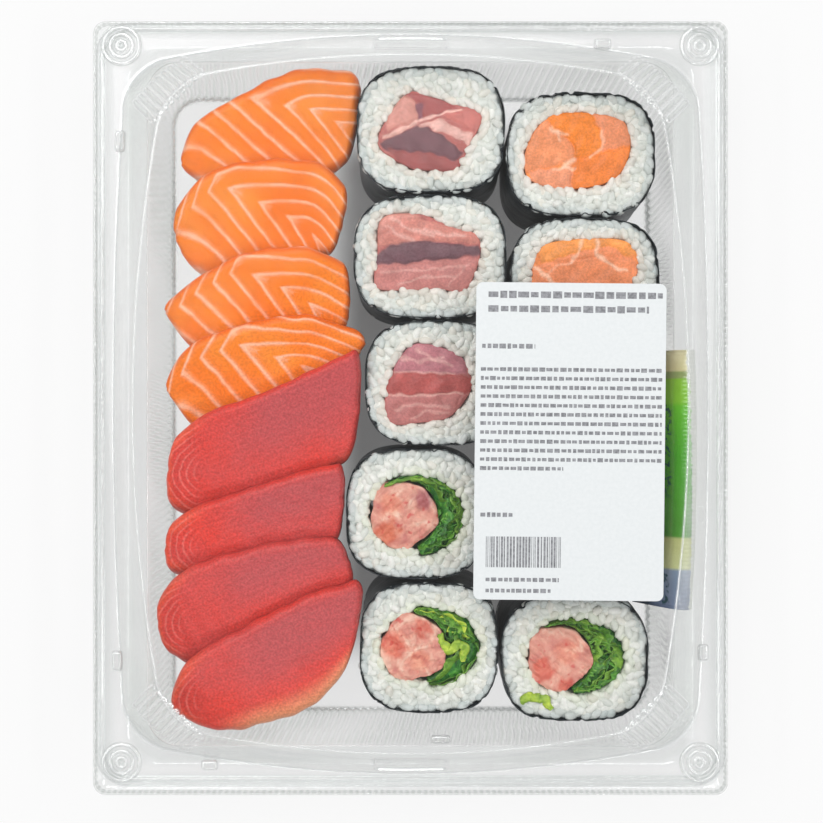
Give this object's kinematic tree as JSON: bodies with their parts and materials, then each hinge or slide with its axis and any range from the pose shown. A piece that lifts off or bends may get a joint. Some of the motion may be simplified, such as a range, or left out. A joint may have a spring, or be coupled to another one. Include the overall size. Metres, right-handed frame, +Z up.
{
  "type": "takeaway sushi tray",
  "caption": "Clear ribbed tray under a clear domed lid, packed with salmon and tuna nigiri beside thick rolls, with a sauce sachet at the side and a blank-print paper label on top",
  "frame": {"origin": "middle of the underside of the tray, where it rests, which is the bottom centre of the whole's box", "axes": "+Z up out of the lid, +Y along the long side away from the person who opens it, +X to their right"},
  "size_m": [0.2036, 0.248, 0.041],
  "materials": {
    "clear_plastic": "clear thermoformed PET sheet, glossy, with fine pressed ribs",
    "label_paper": "smooth white thermal paper with grey print rows",
    "sachet_film": "printed film in green, cream and slate bands, glossy",
    "salmon": "raw salmon, moist, orange with pale fat lines",
    "tuna": "raw lean tuna, moist, deep red",
    "minced_tuna": "minced fatty tuna, moist, pink",
    "leaves": "shredded green leaves, moist",
    "cooked_rice": "cooked short-grain rice, moist and slightly translucent",
    "seaweed": "dark blue-green pressed seaweed sheet, slightly moist"
  },
  "bodies": {
    "root": {"filling_m1": "tuna", "filling_m2": "tuna", "filling_m3": "tuna", "filling_m4": "minced_tuna", "filling_m5": "minced_tuna", "filling_r1": "salmon", "filling_r2": "salmon", "filling_r3": "salmon", "filling_r4": "minced_tuna", "filling_r5": "minced_tuna", "finger_salmon_1": "cooked_rice", "finger_salmon_2": "cooked_rice", "finger_salmon_3": "cooked_rice", "finger_salmon_4": "cooked_rice", "finger_tuna_1": "cooked_rice", "finger_tuna_2": "cooked_rice", "finger_tuna_3": "cooked_rice", "finger_tuna_4": "cooked_rice", "label": "label_paper", "leaves_m4": "leaves", "leaves_m5": "leaves", "leaves_r4": "leaves", "leaves_r5": "leaves", "lid": "clear_plastic", "nori_m1": "seaweed", "nori_m2": "seaweed", "nori_m3": "seaweed", "nori_m4": "seaweed", "nori_m5": "seaweed", "nori_r1": "seaweed", "nori_r2": "seaweed", "nori_r3": "seaweed", "nori_r4": "seaweed", "nori_r5": "seaweed", "rice_m1": "cooked_rice", "rice_m2": "cooked_rice", "rice_m3": "cooked_rice", "rice_m4": "cooked_rice", "rice_m5": "cooked_rice", "rice_r1": "cooked_rice", "rice_r2": "cooked_rice", "rice_r3": "cooked_rice", "rice_r4": "cooked_rice", "rice_r5": "cooked_rice", "sachet": "sachet_film", "slice_salmon_1": "salmon", "slice_salmon_2": "salmon", "slice_salmon_3": "salmon", "slice_salmon_4": "salmon", "slice_tuna_1": "tuna", "slice_tuna_2": "tuna", "slice_tuna_3": "tuna", "slice_tuna_4": "tuna", "tray_base": "clear_plastic"}
  },
  "joints": []
}
